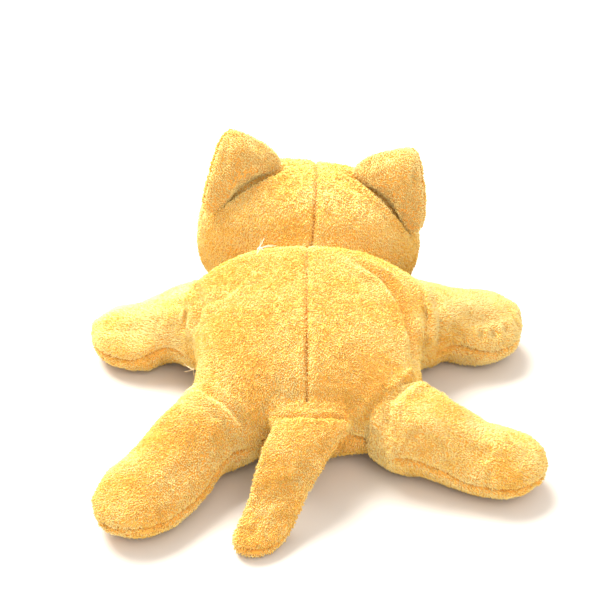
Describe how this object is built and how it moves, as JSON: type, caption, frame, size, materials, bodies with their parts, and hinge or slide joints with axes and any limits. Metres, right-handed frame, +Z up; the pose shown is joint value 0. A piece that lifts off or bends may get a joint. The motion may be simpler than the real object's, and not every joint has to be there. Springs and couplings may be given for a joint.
{
  "type": "plush cat toy",
  "caption": "Soft stuffed cat lying flat on its belly, with spread limbs, wadded ears and a flat tail, each sewn on so that it bends at its root.",
  "frame": {"origin": "on the floor, in the middle of the flat patch under the belly", "axes": "+Z up, +Y towards the head, +X towards the cat's right"},
  "size_m": [0.2469, 0.2716, 0.1163],
  "materials": {
    "plush_fabric": "short dense pile, golden yellow",
    "stuffing": "loose polyester fibre",
    "eye_plastic": "polished black",
    "washer_plastic": "moulded",
    "brown_thread": "embroidery thread"
  },
  "bodies": {
    "torso": {"torso_back_left": "plush_fabric", "torso_back_right": "plush_fabric", "torso_belly": "plush_fabric", "torso_stuffing": "stuffing"},
    "neck": {"neck_stuffing": "stuffing"},
    "head": {"head_back_left": "plush_fabric", "head_back_right": "plush_fabric", "head_face_left": "plush_fabric", "head_face_right": "plush_fabric", "head_stuffing": "stuffing", "eye_left": "eye_plastic", "eye_right": "eye_plastic", "eye_washer_left": "washer_plastic", "eye_washer_right": "washer_plastic", "nose_stitching": "brown_thread", "mouth_stitching": "brown_thread"},
    "ear_left": {"ear_left_back": "plush_fabric", "ear_left_front": "plush_fabric", "ear_left_wadding": "stuffing"},
    "ear_right": {"ear_right_back": "plush_fabric", "ear_right_front": "plush_fabric", "ear_right_wadding": "stuffing"},
    "arm_left_root": {"arm_left_root_stuffing": "stuffing"},
    "arm_left": {"arm_left_top": "plush_fabric", "arm_left_underside": "plush_fabric", "arm_left_stuffing": "stuffing"},
    "arm_right_root": {"arm_right_root_stuffing": "stuffing"},
    "arm_right": {"arm_right_top": "plush_fabric", "arm_right_underside": "plush_fabric", "arm_right_stuffing": "stuffing"},
    "leg_left_root": {"leg_left_root_stuffing": "stuffing"},
    "leg_left": {"leg_left_top": "plush_fabric", "leg_left_underside": "plush_fabric", "leg_left_stuffing": "stuffing"},
    "leg_right_root": {"leg_right_root_stuffing": "stuffing"},
    "leg_right": {"leg_right_top": "plush_fabric", "leg_right_underside": "plush_fabric", "leg_right_stuffing": "stuffing"},
    "tail_root": {"tail_root_stuffing": "stuffing"},
    "tail": {"tail_top": "plush_fabric", "tail_underside": "plush_fabric", "tail_stuffing": "stuffing"}
  },
  "joints": [
    {"name": "neck_twist", "type": "hinge", "parent": "torso", "child": "neck", "pos_m": [0, 0.061, 0.037], "axis": [0, 1, 0], "range_deg": [-12, 12]},
    {"name": "neck_nod", "type": "hinge", "parent": "neck", "child": "head", "pos_m": [0, 0.061, 0.037], "axis": [1, 0, 0], "range_deg": [0, 18]},
    {"name": "ear_left_fold", "type": "hinge", "parent": "head", "child": "ear_left", "pos_m": [-0.0391, 0.0957, 0.08329], "axis": [0.7904, 0.5299, 0.3073], "range_deg": [-15, 20]},
    {"name": "ear_right_fold", "type": "hinge", "parent": "head", "child": "ear_right", "pos_m": [0.04851, 0.0957, 0.07331], "axis": [0.701, -0.5299, -0.4772], "range_deg": [-15, 20]},
    {"name": "arm_left_swing", "type": "hinge", "parent": "torso", "child": "arm_left_root", "pos_m": [-0.071, 0.039, 0.022], "axis": [0, 0, 1], "range_deg": [-20, 20]},
    {"name": "arm_left_raise", "type": "hinge", "parent": "arm_left_root", "child": "arm_left", "pos_m": [-0.071, 0.039, 0.022], "axis": [0.0872, 0.9962, 0], "range_deg": [0, 55]},
    {"name": "arm_right_swing", "type": "hinge", "parent": "torso", "child": "arm_right_root", "pos_m": [0.0705, 0.04, 0.022], "axis": [0, 0, 1], "range_deg": [-20, 20]},
    {"name": "arm_right_raise", "type": "hinge", "parent": "arm_right_root", "child": "arm_right", "pos_m": [0.0705, 0.04, 0.022], "axis": [0.2924, -0.9563, 0], "range_deg": [0, 55]},
    {"name": "leg_left_swing", "type": "hinge", "parent": "torso", "child": "leg_left_root", "pos_m": [-0.054, -0.0595, 0.022], "axis": [0, 0, 1], "range_deg": [-25, 10]},
    {"name": "leg_left_raise", "type": "hinge", "parent": "leg_left_root", "child": "leg_left", "pos_m": [-0.054, -0.0595, 0.022], "axis": [-0.7986, 0.6018, 0], "range_deg": [0, 40]},
    {"name": "leg_right_swing", "type": "hinge", "parent": "torso", "child": "leg_right_root", "pos_m": [0.06, -0.056, 0.022], "axis": [0, 0, 1], "range_deg": [-20, 20]},
    {"name": "leg_right_raise", "type": "hinge", "parent": "leg_right_root", "child": "leg_right", "pos_m": [0.06, -0.056, 0.022], "axis": [-0.309, -0.9511, 0], "range_deg": [0, 40]},
    {"name": "tail_swing", "type": "hinge", "parent": "torso", "child": "tail_root", "pos_m": [0.002, -0.0683, 0.036], "axis": [0, 0, 1], "range_deg": [-8, 8]},
    {"name": "tail_lift", "type": "hinge", "parent": "tail_root", "child": "tail", "pos_m": [0.002, -0.0683, 0.036], "axis": [-1, 0, 0], "range_deg": [0, 60]}
  ]
}
